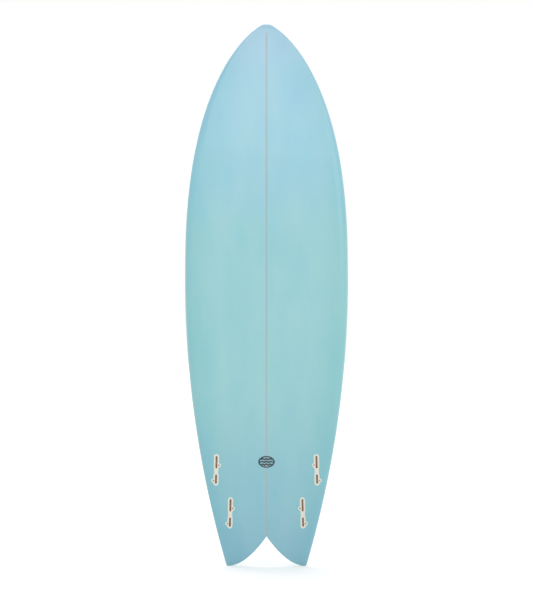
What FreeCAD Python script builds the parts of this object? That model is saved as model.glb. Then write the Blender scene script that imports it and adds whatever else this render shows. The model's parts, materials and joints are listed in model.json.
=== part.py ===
"""Swallow-tail surfboard: foam and stringer, glass skins, four fin boxes, leash plug, two labels.

Frame, in millimetres: the board stands on its tail. +Z points to the nose and Z = 0 is the tail tips.
The deck faces -Y and the bottom faces +Y. +X is the starboard rail. Stations are measured down the
board from the nose, as a shaper does: station = board_length - Z.
"""
import FreeCAD
import Part
import Sketcher
import math
import os
from FreeCAD import Placement, Rotation, Vector

doc = FreeCAD.newDocument("surfboard")

# ---------------------------------------------------------------- driving dimensions
DIMENSIONS = {
    # outline
    "board_length": 1829,         # 6'0"
    "board_width": 547,           # 21 1/2" at the wide point
    "wide_point": 873,            # station of the wide point
    "tail_width": 269,            # tip to tip
    "nose_blunt": 1.5,            # how far the flat of the nose tip stands behind a sharp point
    "nose_reach_power": 2.6,      # nose outline: (reach)^p + (half width)^q = 1
    "nose_width_power": 1.46,
    "swallow_depth": 100,         # notch apex ahead of the tips
    "swallow_knee": 0.54,         # where the notch edge turns, as a share of half the notch
    "tip_flat": 5,                # straight end of each swallow tip
    # rocker, on the bottom
    "flat_point": 770,            # station of the low point
    "nose_rocker": 55,            # the parabola under the nose
    "nose_flip": 44,              # the extra kick over the last quarter
    "flip_power": 6,
    "tail_rocker": 78,
    "tail_rocker_power": 2.45,
    # foil
    "board_thickness": 65,        # 2 9/16"
    "thick_point": 830,
    "nose_thickness": 22.5,
    "nose_foil_power": 1.9,
    "tail_thickness": 14,
    "tail_foil_power": 2.6,
    # rails and deck crown, as shares of the half width or the thickness at each station
    "rail_apex": 0.44,            # height of the rail's widest line above the bottom
    "deck_fullness": 0.66,
    "rail_fullness": 0.50,
    "bottom_flat": 0.89,          # where the flat bottom ends and the rail tuck starts
    "tuck_fullness": 0.60,
    # skins
    "stringer_thickness": 4,
    "inner_glass": 0.8,
    "outer_glass": 0.8,
    "lap_width": 30,
    "lap_nose": 48,               # station where the lap line closes across the nose
    # labels
    "deck_label_width": 41,
    "deck_label_length": 141,
    "deck_label_station": 975,
    "bottom_label_width": 56,
    "bottom_label_length": 40,
    "bottom_label_station": 1476,
    # fin boxes
    "front_box_offset": 168.6,    # box centre from the stringer
    "front_box_station": 1503,
    "rear_box_offset": 122,
    "rear_box_station": 1649,
    "toe_in": 1.7,                # degrees
    "end_wall": 5.5,
    "front_bay": 42,
    "bridge": 21,
    "rear_bay": 31,
    "bay_width": 6.4,
    "bay_depth": 14,
    "box_floor": 2.5,
    "box_wall": 2.8,              # beside the bays
    "flange_lip": 1.75,           # how far the flange stands out past that wall
    "flange_thickness": 2,
    "core_setback": 1.5,          # the walls end this far inside the flange
    "boss_radius": 6,
    "boss_reach": 5.5,            # screw centre from the side of the bay
    "boss_depth": 13.5,
    "hole_floor": 1.2,            # left under a screw's hole
    "front_boss_back": 31.1,      # screw centre from the front end of its bay
    "rear_boss_back": 20.5,
    "box_bed": 1.2,
    # grub screws
    "screw_diameter": 5,
    "screw_length": 7.5,
    "screw_lean": 20,             # degrees towards the bay
    "screw_sink": 1.3,            # top of the screw below the flange, along its own axis
    "screw_clearance": 0.1,
    "screw_chamfer": 0.5,
    "socket_flats": 2.5,
    "socket_depth": 3,
    # leash plug
    "plug_offset": 96,
    "plug_station": 1750,
    "plug_mouth_diameter": 17,
    "plug_wall": 4,
    "plug_rim": 2.5,              # how far the flange stands out past the barrel
    "plug_flange_thickness": 2.2,
    "plug_cup_depth": 13,
    "plug_floor": 2.2,
    "plug_bed": 1.2,
    "pin_diameter": 4,
    "pin_setback": 1,             # the pin's ends stop this far inside the barrel
    "pin_sink": 5,                # pin axis below the plug's face
}

sheet = doc.addObject("Spreadsheet::Sheet", "board")
for row, (word, value) in enumerate(DIMENSIONS.items(), start=1):
    sheet.set("A%d" % row, word)
    sheet.set("B%d" % row, str(value))
    sheet.setAlias("B%d" % row, word)
doc.recompute()

pieces = []                       # (node name, object) in the order they are written


def size(word):
    """A driving dimension, read back from the sheet."""
    return float(sheet.get(word))


def bind(thing, **links):
    """Tie properties of an object to expressions on the sheet's words."""
    for name, expression in links.items():
        thing.setExpression(name, expression)


def keep(name, thing):
    """Label a finished sub-part; the label names its file."""
    thing.Label = name
    pieces.append((name, thing))
    return thing


def feature(name, shape):
    """An object whose shape is worked out here, for free-form surfaces."""
    thing = doc.addObject("Part::Feature", name)
    thing.Shape = shape
    return thing


def cut(name, base, *tools):
    """base less each tool in turn."""
    for number, tool in enumerate(tools):
        step = doc.addObject("Part::Cut", "%s_cut_%d" % (name, number))
        step.Base = base
        step.Tool = tool
        base = step
    return base


def common(name, base, tool):
    """What base and tool share."""
    step = doc.addObject("Part::Common", name + "_common")
    step.Base = base
    step.Tool = tool
    return step


# ---------------------------------------------------------------- the shape of the board
STATIONS = 21                     # sections that the surfaces pass through
STATION_BUNCHING = 1.8            # gathers them near the nose, where the outline turns fastest
OUTSIDE = 400                     # reaches clear of the board on any side


def half_width(station):
    """Outline: half the board's width at a station."""
    wide = size("wide_point")
    half = size("board_width") / 2
    if station <= wide:
        reach = (wide - station) / (wide + size("nose_blunt"))
        return half * (1 - reach ** size("nose_reach_power")) ** (1 / size("nose_width_power"))
    run = (station - wide) / (size("board_length") - wide)
    return half - (half - size("tail_width") / 2) * run ** 2


def rocker(station):
    """How far the bottom has risen from its low point towards the deck."""
    low = size("flat_point")
    if station <= low:
        run = (low - station) / low
        return size("nose_rocker") * run ** 2 + size("nose_flip") * run ** size("flip_power")
    run = (station - low) / (size("board_length") - low)
    return size("tail_rocker") * run ** size("tail_rocker_power")


def thickness(station):
    """Foil: the board's thickness on its centreline at a station."""
    thick = size("thick_point")
    full = size("board_thickness")
    if station <= thick:
        run = (thick - station) / thick
        return full - (full - size("nose_thickness")) * run ** size("nose_foil_power")
    run = (station - thick) / (size("board_length") - thick)
    return full - (full - size("tail_thickness")) * run ** size("tail_foil_power")


def section(station, inset, bottom_line):
    """One station's cross-section as poles: deck, rail tuck and flat bottom, starboard side out."""
    wide = half_width(station) - inset
    thick = thickness(station) - 2 * inset
    bottom = bottom_line - rocker(station) - inset
    deck = bottom - thick
    apex = bottom - size("rail_apex") * thick
    flat = size("bottom_flat") * wide
    rail = apex + size("rail_fullness") * (deck - apex)
    tuck = apex + size("tuck_fullness") * (bottom - apex)
    edge = flat + size("tuck_fullness") * (wide - flat)
    crown = size("deck_fullness") * wide
    height = size("board_length") - station
    rows = {
        "deck": [(-wide, apex), (-wide, rail), (-crown, deck), (crown, deck), (wide, rail), (wide, apex)],
        "tuck": [(wide, apex), (wide, tuck), (edge, bottom), (flat, bottom)],
        "bottom": [(flat, bottom), (-flat, bottom)],
        "port_tuck": [(-flat, bottom), (-edge, bottom), (-wide, tuck), (-wide, apex)],
    }
    return {part: [Vector(x, y, height) for x, y in row] for part, row in rows.items()}


def skin_surface(rows, degree, knots, mults):
    """A surface through rows of poles: each column of poles is a smooth curve down the board."""
    places = [float(number) for number in range(len(rows))]
    columns = []
    for column in zip(*rows):
        curve = Part.BSplineCurve()
        curve.interpolate(Points=list(column), Parameters=places)
        columns.append(curve)
    surface = Part.BSplineSurface()
    poles = [list(row) for row in zip(*[curve.getPoles() for curve in columns])]
    surface.buildFromPolesMultsKnots(poles, columns[0].getMultiplicities(), mults, columns[0].getKnots(),
                                     knots, False, False, columns[0].Degree, degree)
    return surface


def hull(inset, bottom_line):
    """The closed board, inset on every side, before the swallow is cut."""
    span = size("board_length") - 2 * inset
    steps = [(number / (STATIONS - 1)) ** STATION_BUNCHING for number in range(STATIONS)]
    sections = [section(inset + span * step, inset, bottom_line) for step in steps]
    bezier = (3, [0.0, 1.0], [4, 4])
    spans = {"deck": (3, [0.0, 0.5, 1.0], [4, 2, 4]), "tuck": bezier,
             "bottom": (1, [0.0, 1.0], [2, 2]), "port_tuck": bezier}
    surfaces = [skin_surface([rows[part] for rows in sections], *spans[part]) for part in spans]
    faces = [surface.toShape() for surface in surfaces]
    for place in (0.0, STATIONS - 1.0):
        rim = Part.Wire([surface.uIso(place).toShape() for surface in surfaces])
        faces.append(Part.Face(rim))
    shell = Part.makeShell(faces)
    shell.sewShape()
    solid = Part.Solid(shell if shell.ShapeType == "Shell" else shell.Shells[0])
    if solid.Volume < 0:
        solid.reverse()
    return solid


def notch(inset):
    """Everything behind the swallow's edge; inset moves that edge into the board."""
    half = size("tail_width") / 2 - size("tip_flat")
    knee = size("swallow_knee") * half
    depth = size("swallow_depth")
    apex = depth + inset * math.hypot(1, depth / knee)
    edges = []
    for side in (1, -1):
        curve = Part.BezierCurve()
        poles = [Vector(0, 0, apex), Vector(side * knee, 0, inset), Vector(side * half, 0, inset)]
        curve.setPoles(poles[::side])
        edges.append(curve.toShape())
        edges.append(Part.makeLine(Vector(side * half, 0, inset), Vector(side * half, 0, -OUTSIDE)))
    edges.append(Part.makeLine(Vector(half, 0, -OUTSIDE), Vector(-half, 0, -OUTSIDE)))
    face = Part.Face(Part.Wire(Part.__sortEdges__(edges)))
    face.translate(Vector(0, -OUTSIDE, 0))
    return face.extrude(Vector(0, 2 * OUTSIDE, 0))


def smooth_line(points):
    """An edge through points."""
    curve = Part.BSplineCurve()
    curve.interpolate(points)
    return curve.toShape()


def lap_block():
    """Upright block inside the lap line, which follows the outline and the swallow."""
    length = size("board_length")
    start = size("lap_nose")
    places = [start + (length - start) * (number / (STATIONS - 1)) for number in range(STATIONS)]
    rails = []
    for side in (1, -1):
        rails.append(smooth_line([Vector(side * (half_width(s) - size("lap_width")), 0, length - s)
                                  for s in places]))
    ends = [Part.makeLine(rails[0].valueAt(rail_end), rails[1].valueAt(rail_end))
            for rail_end in (rails[0].FirstParameter, rails[0].LastParameter)]
    face = Part.Face(Part.Wire(Part.__sortEdges__(rails + ends)))
    face.translate(Vector(0, -OUTSIDE, 0))
    return face.extrude(Vector(0, 2 * OUTSIDE, 0)).cut(notch(size("lap_width")))


def deck_side(bottom_line):
    """Everything on the deck's side of a surface half way through the board."""
    length = size("board_length")
    places = [length * number / (STATIONS - 1) for number in range(STATIONS)]
    middle = [Vector(0, bottom_line - rocker(s) - thickness(s) / 2, length - s) for s in places]
    corners = [middle[0], Vector(0, -OUTSIDE, length), Vector(0, -OUTSIDE, 0), middle[-1]]
    edges = [smooth_line(middle)] + [Part.makeLine(a, b) for a, b in zip(corners, corners[1:])]
    face = Part.Face(Part.Wire(Part.__sortEdges__(edges)))
    face.translate(Vector(-OUTSIDE, 0, 0))
    return face.extrude(Vector(2 * OUTSIDE, 0, 0))


# The frame's origin is the middle of the board's box, so the bottom's low point stands half of the
# box's depth to +Y: the box reaches from that low point to the nose's or the deck's far side.
deepest = max(rocker(s) + thickness(s) for s in (0, size("thick_point"), size("board_length")))
bottom_line = deepest / 2

glass = size("inner_glass") + size("outer_glass")
board_blank = feature("board_blank", hull(0, bottom_line))
inner_blank = feature("inner_blank", hull(size("outer_glass"), bottom_line))
foam_blank = feature("foam_blank", hull(glass, bottom_line))
board_hull = cut("board_hull", board_blank, feature("notch_board", notch(0)))
inner_hull = cut("inner_hull", inner_blank, feature("notch_inner", notch(size("outer_glass"))))
foam_hull = cut("foam_hull", foam_blank, feature("notch_foam", notch(glass)))
lap = feature("lap", lap_block())
deck_half_space = feature("deck_half_space", deck_side(bottom_line))
deck_window = common("deck_window", lap, deck_half_space)
bottom_window = cut("bottom_window", lap, deck_half_space)
doc.recompute()


# ---------------------------------------------------------------- seats: planes that fittings sit on
def surface_point(offset, station, face):
    """Where a line square to the board's plan meets the board's deck or bottom."""
    height = size("board_length") - station
    line = Part.makeLine(Vector(offset, -OUTSIDE, height), Vector(offset, OUTSIDE, height))
    met = [vertex.Point for vertex in board_hull.Shape.common(line).Vertexes]
    pick = max if face == "bottom" else min
    return pick(met, key=lambda point: point.y)


def seat(offset, station, half_length, half_breadth, face, toe=0.0):
    """A fitting's own frame: Z out of the board, Y towards the nose, origin level with the surface.

    The surface bulges between the fitting's ends, so the origin is half way up the bulge. toe turns
    the front end towards the stringer.
    """
    front, rear = (surface_point(offset, station + step, face) for step in (-half_length, half_length))
    port, starboard = (surface_point(offset + step, station, face) for step in (-half_breadth, half_breadth))
    middle = surface_point(offset, station, face)
    along = (front - rear).normalize()
    out = along.cross(starboard - port).normalize()
    if (out.y > 0) != (face == "bottom"):
        out = -out
    turn = toe if offset * out.y < 0 else -toe
    along = Rotation(out, turn).multVec(along)
    origin = ((front + rear) / 2 + middle) / 2
    return Placement(origin, Rotation(along.cross(out), along, out, "ZYX"))


# ---------------------------------------------------------------- sketches and pads
def new_body(name, placement=Placement()):
    body = doc.addObject("PartDesign::Body", name)
    body.Placement = placement
    return body


def new_sketch(body, name, plane="XY_Plane"):
    """An empty sketch on one of the body's own origin planes."""
    sketch = body.newObject("Sketcher::SketchObject", name)
    origin_plane = next(f for f in body.Origin.OriginFeatures if f.Role == plane)
    sketch.AttachmentSupport = [(origin_plane, "")]
    sketch.MapMode = "FlatFace"
    return sketch


def value(expression):
    """What an expression on the sheet's words comes to."""
    return float(sheet.evalExpression(expression.replace("board.", "")))


def constrain(sketch, kind, *rest):
    """Add a dimension whose last item is an expression, and tie it to the sheet."""
    *geometry, expression = rest
    number = sketch.addConstraint(Sketcher.Constraint(kind, *geometry, value(expression)))
    sketch.setExpression("Constraints[%d]" % number, expression)


def pin(sketch, geometry, point, x, y):
    """Fix one point of a sketch at a pair of expressions; "0" puts it on that axis."""
    for kind, axis, expression in (("DistanceX", -2, x), ("DistanceY", -1, y)):
        if expression == "0":
            sketch.addConstraint(Sketcher.Constraint("PointOnObject", geometry, point, axis))
        else:
            constrain(sketch, kind, -1, 1, geometry, point, expression)


def circle(sketch, x, y, radius):
    drawn = Part.Circle(Vector(value(x), value(y), 0), Vector(0, 0, 1), value(radius))
    ring = sketch.addGeometry(drawn)
    constrain(sketch, "Radius", ring, radius)
    pin(sketch, ring, 3, x, y)


def slot(sketch, radius, low, high):
    """A round-ended slot on the Y axis, from low to high over its ends."""
    r = value(radius)
    top_y, foot_y = value(high) - r, value(low) + r
    top_circle = Part.Circle(Vector(0, top_y, 0), Vector(0, 0, 1), r)
    foot_circle = Part.Circle(Vector(0, foot_y, 0), Vector(0, 0, 1), r)
    top = sketch.addGeometry(Part.ArcOfCircle(top_circle, 0, math.pi))
    left = sketch.addGeometry(Part.LineSegment(Vector(-r, top_y, 0), Vector(-r, foot_y, 0)))
    foot = sketch.addGeometry(Part.ArcOfCircle(foot_circle, math.pi, 2 * math.pi))
    right = sketch.addGeometry(Part.LineSegment(Vector(r, foot_y, 0), Vector(r, top_y, 0)))
    for first, second in ((top, left), (left, foot), (foot, right), (right, top)):
        sketch.addConstraint(Sketcher.Constraint("Tangent", first, 2, second, 1))
    sketch.addConstraint(Sketcher.Constraint("Equal", top, foot))
    constrain(sketch, "Radius", top, radius)
    pin(sketch, top, 3, "0", "(%s) - (%s)" % (high, radius))
    pin(sketch, foot, 3, "0", "(%s) + (%s)" % (low, radius))


def polygon(sketch, corners):
    """A closed outline through corners given as pairs of expressions."""
    spots = [Vector(value(x), value(y), 0) for x, y in corners]
    count = len(corners)
    sides = [sketch.addGeometry(Part.LineSegment(spots[n], spots[(n + 1) % count])) for n in range(count)]
    for n in range(count):
        sketch.addConstraint(Sketcher.Constraint("Coincident", sides[n - 1], 2, sides[n], 1))
        pin(sketch, sides[n], 1, *corners[n])


def pad(body, sketch, depth, rise="0"):
    """Fill the sketch from rise above its plane down to depth below it."""
    block = body.newObject("PartDesign::Pad", sketch.Name + "_pad")
    block.Profile = sketch
    block.Reversed = True
    bind(block, Length=depth)
    if rise != "0":
        block.SideType = "Two sides"
        bind(block, Length2=rise)
    return block


def pocket(body, sketch, depth):
    hollow = body.newObject("PartDesign::Pocket", sketch.Name + "_pocket")
    hollow.Profile = sketch
    bind(hollow, Length=depth)
    return hollow


# ---------------------------------------------------------------- fin boxes
BOX_LENGTH = "(2 * board.end_wall + board.front_bay + board.bridge + board.rear_bay)"
FRONT_END = BOX_LENGTH + " / 2"
REAR_END = "-%s / 2" % BOX_LENGTH
BAYS = {                          # each bay's rear and front end, along the box
    "front": ("%s - board.end_wall - board.front_bay" % FRONT_END, "%s - board.end_wall" % FRONT_END),
    "rear": ("%s + board.end_wall" % REAR_END, "%s + board.end_wall + board.rear_bay" % REAR_END),
}
CORE_HALF = "(board.bay_width / 2 + board.box_wall)"
FLANGE_HALF = "(board.bay_width / 2 + board.box_wall + board.flange_lip)"
BOX_DEPTH = "board.bay_depth + board.box_floor"
BOSS_OFFSET = "(board.bay_width / 2 + board.boss_reach)"
ABOVE = "3"                       # cutters stand this far out of the board


def bosses(side):
    """The two screw bosses of a box: front one inboard, rear one outboard. Local X is to port."""
    return {"front": ("%d * %s" % (side, BOSS_OFFSET), "%s - board.front_boss_back" % BAYS["front"][1]),
            "rear": ("%d * %s" % (-side, BOSS_OFFSET), "%s - board.rear_boss_back" % BAYS["rear"][1])}


def box_outside(name, side, placement, grow="0", rise="0"):
    """The outside of a fin box, grown all round by grow and standing rise above its flange."""
    outside = new_body(name, placement)
    core = new_sketch(outside, name + "_core")
    slot(core, "%s + %s" % (CORE_HALF, grow), "%s + board.core_setback - %s" % (REAR_END, grow),
         "%s - board.core_setback + %s" % (FRONT_END, grow))
    pad(outside, core, "%s + %s" % (BOX_DEPTH, grow), rise)
    for word, (low, high) in BAYS.items():
        flange = new_sketch(outside, "%s_%s_flange" % (name, word))
        slot(flange, "%s + %s" % (FLANGE_HALF, grow), "%s - board.end_wall - %s" % (low, grow),
             "%s + board.end_wall + %s" % (high, grow))
        pad(outside, flange, "board.flange_thickness + " + grow, rise)
    for word, (x, y) in bosses(side).items():
        boss = new_sketch(outside, "%s_%s_boss" % (name, word))
        circle(boss, x, y, "board.boss_radius + " + grow)
        pad(outside, boss, "board.boss_depth + " + grow, rise)
    return outside


def fin_box(name, side, offset_word, station_word):
    """One box with its bed and its two screws. side is 1 to starboard and -1 to port.

    Returns the cavity that the box and its bed are set in.
    """
    place = seat(side * size(offset_word), size(station_word), value(BOX_LENGTH) / 2, value(FLANGE_HALF),
                 "bottom", size("toe_in"))
    box = box_outside(name + "_body", side, place)
    for word, (low, high) in BAYS.items():
        bay = new_sketch(box, "%s_%s_bay" % (name, word))
        slot(bay, "board.bay_width / 2", low, high)
        pocket(box, bay, "board.bay_depth")
    holes = []
    for word, (x, y) in bosses(side).items():
        # the screw leans: going in, it closes on the bay
        tilt = math.copysign(size("screw_lean"), value(x))
        frame = place.multiply(Placement(Vector(value(x), value(y), 0), Rotation(Vector(0, 1, 0), tilt)))
        hole = doc.addObject("Part::Cylinder", "%s_%s_hole" % (name, word))
        bind(hole, Radius="board.screw_diameter / 2 + board.screw_clearance",
             Height="board.boss_depth - board.hole_floor + " + ABOVE)
        hole.Placement = frame.multiply(Placement(Vector(0, 0, size("hole_floor") - size("boss_depth")), Rotation()))
        holes.append(hole)
        screw(name, word, frame)
    keep(name, cut(name, box, *holes))
    grown = box_outside(name + "_bed_outside", side, place, "board.box_bed")
    keep(name + "_bed", cut(name + "_bed", grown, box_outside(name + "_core_shape", side, place)))
    return box_outside(name + "_cavity", side, place, "board.box_bed", ABOVE)


# ---------------------------------------------------------------- turned pieces
def turned(name, placement, corners):
    """A body turned about its own Z axis from a half outline of (radius, height) expressions."""
    body = new_body(name, placement)
    outline = new_sketch(body, name + "_outline", "XZ_Plane")
    polygon(outline, corners)
    turning = body.newObject("PartDesign::Revolution", name + "_turning")
    turning.Profile = outline
    turning.ReferenceAxis = (outline, ["V_Axis"])
    turning.Angle = 360
    return body


def screw(name, word, hole_frame):
    """A grub screw: turned blank with chamfered ends and a hexagon socket."""
    top = hole_frame.multiply(Placement(Vector(0, 0, -size("screw_sink")), Rotation()))
    full, root = "board.screw_diameter / 2", "board.screw_diameter / 2 - board.screw_chamfer"
    name = "%s_screw_%s" % (name, word)
    body = turned(name + "_body", top, [
        ("0", "0"), (root, "0"), (full, "-1 * board.screw_chamfer"),
        (full, "board.screw_chamfer - board.screw_length"), (root, "-1 * board.screw_length"),
        ("0", "-1 * board.screw_length")])
    socket = new_sketch(body, name + "_socket")
    point, half_point = "board.socket_flats / sqrt(3)", "board.socket_flats / sqrt(12)"
    flat = "board.socket_flats / 2"
    polygon(socket, [(point, "0"), (half_point, flat), ("-1 * " + half_point, flat), ("-1 * " + point, "0"),
                     ("-1 * " + half_point, "-1 * " + flat), (half_point, "-1 * " + flat)])
    pocket(body, socket, "board.socket_depth")
    keep(name, body)


MOUTH = "board.plug_mouth_diameter / 2"
BARREL = "(%s + board.plug_wall)" % MOUTH
RIM = "(%s + board.plug_rim)" % BARREL


def plug_outside(name, placement, grow="0", rise="0"):
    """The outside of the leash plug, grown all round by grow and standing rise above its face."""
    rim, barrel = "%s + %s" % (RIM, grow), "%s + %s" % (BARREL, grow)
    under = "-1 * board.plug_flange_thickness - " + grow
    base = "-1 * board.plug_cup_depth - board.plug_floor - " + grow
    return turned(name, placement, [("0", rise), (rim, rise), (rim, under), (barrel, under), (barrel, base),
                                    ("0", base)])


def leash_plug():
    """The cup, its cross pin and its bed. Returns the cavity they are set in."""
    place = seat(size("plug_offset"), size("plug_station"), value(RIM), value(RIM), "deck")
    under, hollow = "-1 * board.plug_flange_thickness", "-1 * board.plug_cup_depth"
    base = hollow + " - board.plug_floor"
    cup = turned("leash_cup", place, [(MOUTH, "0"), (RIM, "0"), (RIM, under), (BARREL, under), (BARREL, base),
                                      ("0", base), ("0", hollow), (MOUTH, hollow)])
    bar = doc.addObject("Part::Cylinder", "leash_pin")
    bind(bar, Radius="board.pin_diameter / 2", Height="2 * (%s - board.pin_setback)" % BARREL)
    half = value(BARREL) - size("pin_setback")
    across = Placement(Vector(half, 0, -size("pin_sink")), Rotation(Vector(0, 1, 0), -90))
    bar.Placement = place.multiply(across)
    keep("leash_plug_cup", cut("leash_plug_cup", cup, bar))
    keep("leash_plug_pin", bar)
    bed = cut("leash_plug_bed", plug_outside("leash_bed_outside", place, "board.plug_bed"),
              plug_outside("leash_core_shape", place))
    keep("leash_plug_bed", bed)
    return plug_outside("leash_cavity", place, "board.plug_bed", ABOVE)


# ---------------------------------------------------------------- fittings and their cavities
cavities = {"port": [], "starboard": []}
for row in ("front", "rear"):
    for word, side in (("port", -1), ("starboard", 1)):
        cavities[word].append(fin_box("fin_box_%s_%s" % (row, word), side, row + "_box_offset",
                                      row + "_box_station"))
box_cavities = cavities["port"] + cavities["starboard"]
plug_cavity = leash_plug()


# ---------------------------------------------------------------- foam and stringer
def upright_slab(name, low_x, width):
    """A slab through the whole board, from low_x to low_x + width."""
    slab = doc.addObject("Part::Box", name)
    slab.Placement = Placement(Vector(0, -OUTSIDE, -OUTSIDE), Rotation())
    bind(slab, Length=width, Width=str(2 * OUTSIDE), Height="board.board_length + %d" % (2 * OUTSIDE))
    slab.setExpression("Placement.Base.x", low_x)
    return slab


half_stringer = "board.stringer_thickness / 2"
port_slab = upright_slab("port_slab", "-%d" % OUTSIDE, "%d - %s" % (OUTSIDE, half_stringer))
starboard_slab = upright_slab("starboard_slab", half_stringer, str(OUTSIDE))
stringer_slab = upright_slab("stringer_slab", "-" + half_stringer, "board.stringer_thickness")
port_foam = common("port_foam", foam_hull, port_slab)
starboard_foam = common("starboard_foam", foam_hull, starboard_slab)
keep("foam_port_half", cut("foam_port_half", port_foam, *cavities["port"]))
keep("foam_starboard_half", cut("foam_starboard_half", starboard_foam, plug_cavity, *cavities["starboard"]))
keep("stringer", common("stringer", foam_hull, stringer_slab))


# ---------------------------------------------------------------- glass skins and labels
def label_block(name, word):
    """An upright block over a label."""
    block = doc.addObject("Part::Box", name)
    block.Placement = Placement(Vector(0, -OUTSIDE, 0), Rotation())
    bind(block, Length="board.%s_width" % word, Width=str(2 * OUTSIDE), Height="board.%s_length" % word)
    block.setExpression("Placement.Base.x", "-board.%s_width / 2" % word)
    block.setExpression("Placement.Base.z",
                        "board.board_length - board.%s_station - board.%s_length / 2" % (word, word))
    return block


inner_skin = cut("inner_skin", inner_hull, foam_hull)
outer_skin = cut("outer_skin", board_hull, inner_hull)
deck_cover = cut("deck_cover", outer_skin, bottom_window)
bottom_cover = common("bottom_cover", outer_skin, bottom_window)
deck_label = common("deck_label", label_block("deck_label_block", "deck_label"), deck_window)
bottom_label = common("bottom_label", label_block("bottom_label_block", "bottom_label"), bottom_window)

keep("deck_label", common("deck_label_sheet", deck_cover, deck_label))
keep("bottom_label", common("bottom_label_sheet", bottom_cover, bottom_label))
keep("bottom_laminate", cut("bottom_laminate", inner_skin, deck_window, *box_cavities))
keep("deck_inlay", cut("deck_inlay", common("deck_inlay", inner_skin, deck_window), plug_cavity))
keep("deck_laminate", cut("deck_laminate", deck_cover, deck_label, plug_cavity, *box_cavities))
keep("bottom_fill_coat", cut("bottom_fill_coat", bottom_cover, bottom_label, *box_cavities))

# ---------------------------------------------------------------- recompute, check and write
doc.recompute()
for thing in doc.Objects:
    if "Invalid" in thing.State or "Error" in thing.State:
        raise RuntimeError("%s did not rebuild: %s" % (thing.Name, thing.State))
for name, thing in pieces:
    if thing.Shape.isNull() or not thing.Shape.isValid() or not thing.Shape.Solids:
        raise RuntimeError("%s has no valid solid" % name)

os.makedirs("parts", exist_ok=True)
for name, thing in pieces:
    thing.Shape.exportStep("parts/%s.step" % name)
    print("%-36s %d solid, %10.1f mm3" % (name, len(thing.Shape.Solids), thing.Shape.Volume))
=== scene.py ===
"""Looks of a swallow-tail surfboard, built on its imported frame."""
import json
import math

import bmesh
import bpy
from mathutils import Matrix, Vector


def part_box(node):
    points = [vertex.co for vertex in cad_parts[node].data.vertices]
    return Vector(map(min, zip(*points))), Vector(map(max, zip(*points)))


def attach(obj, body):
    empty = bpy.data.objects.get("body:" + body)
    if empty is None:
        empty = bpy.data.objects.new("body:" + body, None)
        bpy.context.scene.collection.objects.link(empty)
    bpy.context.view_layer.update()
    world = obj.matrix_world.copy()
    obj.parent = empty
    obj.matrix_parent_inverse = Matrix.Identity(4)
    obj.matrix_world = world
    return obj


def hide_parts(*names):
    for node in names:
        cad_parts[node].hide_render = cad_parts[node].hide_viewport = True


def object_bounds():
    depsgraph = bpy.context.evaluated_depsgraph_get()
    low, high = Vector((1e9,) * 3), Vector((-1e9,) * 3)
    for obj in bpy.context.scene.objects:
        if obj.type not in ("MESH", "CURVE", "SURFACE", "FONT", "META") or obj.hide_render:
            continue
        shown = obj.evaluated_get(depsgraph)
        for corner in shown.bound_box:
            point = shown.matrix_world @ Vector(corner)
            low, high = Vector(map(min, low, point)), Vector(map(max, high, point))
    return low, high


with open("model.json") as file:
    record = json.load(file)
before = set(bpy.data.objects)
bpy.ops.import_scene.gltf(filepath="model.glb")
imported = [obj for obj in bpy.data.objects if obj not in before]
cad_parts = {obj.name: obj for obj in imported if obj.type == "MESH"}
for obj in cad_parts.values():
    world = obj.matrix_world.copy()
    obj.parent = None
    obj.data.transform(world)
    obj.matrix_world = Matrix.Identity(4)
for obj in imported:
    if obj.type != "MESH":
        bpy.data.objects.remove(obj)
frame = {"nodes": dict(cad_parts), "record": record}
cad_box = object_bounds()
MM = 0.001


# ---- Foam blank ----------------------------------------------------------------------------
# Two halves of white polyurethane foam, blown in a mould, glued to the stringer and planed to
# the board's shape. Planing opens its cells, so the face is matt with pinholes.

def linear(code):
    """A hex colour as the linear values that a socket takes."""
    parts = [int(code[i:i + 2], 16) / 255 for i in (1, 3, 5)]
    return [c / 12.92 if c <= 0.04045 else ((c + 0.055) / 1.055) ** 2.4 for c in parts] + [1]


def new_material(name):
    """A new material and its node tree."""
    material = bpy.data.materials.new(name)
    material.use_nodes = True
    return material, material.node_tree


def add(tree, kind, sockets=None, **settings):
    """Adds a node. A socket takes a value, or the output of another node."""
    node = tree.nodes.new(kind)
    for setting, value in settings.items():
        setattr(node, setting, value)
    for socket, value in (sockets or {}).items():
        if isinstance(value, bpy.types.NodeSocket):
            tree.links.new(value, node.inputs[socket])
        else:
            node.inputs[socket].default_value = value
    return node


def finish_surface(tree, **sockets):
    """Sets the shader's sockets by name, with an underscore for each space."""
    shader = tree.nodes["Principled BSDF"]
    for socket, value in sockets.items():
        socket = socket.replace("_", " ")
        if isinstance(value, bpy.types.NodeSocket):
            tree.links.new(value, shader.inputs[socket])
        else:
            shader.inputs[socket].default_value = value


def paint(piece, material):
    """Gives a piece, or a node of the frame, one material all over."""
    piece.data.materials.clear()
    piece.data.materials.append(material)
    for face in piece.data.polygons:
        face.material_index = 0


NOSE_GAP = 17                     # how far the core stops short of the nose, in mm

planed_foam, tree = new_material("planed_polyurethane_foam")
place = add(tree, "ShaderNodeTexCoord").outputs["Object"]
cells = add(tree, "ShaderNodeTexVoronoi", {"Vector": place, "Scale": 1 / (1.5 * MM)})
patches = add(tree, "ShaderNodeTexNoise", {"Vector": place, "Scale": 1 / (90 * MM)})
colour = add(tree, "ShaderNodeMix", {"Factor": patches.outputs["Fac"], "A": linear("#f1efe6"),
                                     "B": linear("#e6e1d0")}, data_type="RGBA")
dents = add(tree, "ShaderNodeBump", {"Height": cells.outputs["Distance"], "Strength": 0.3,
                                     "Distance": 0.2 * MM})
finish_surface(tree, Base_Color=colour.outputs["Result"], Roughness=0.85,
               Normal=dents.outputs["Normal"], IOR=1.45)


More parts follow.
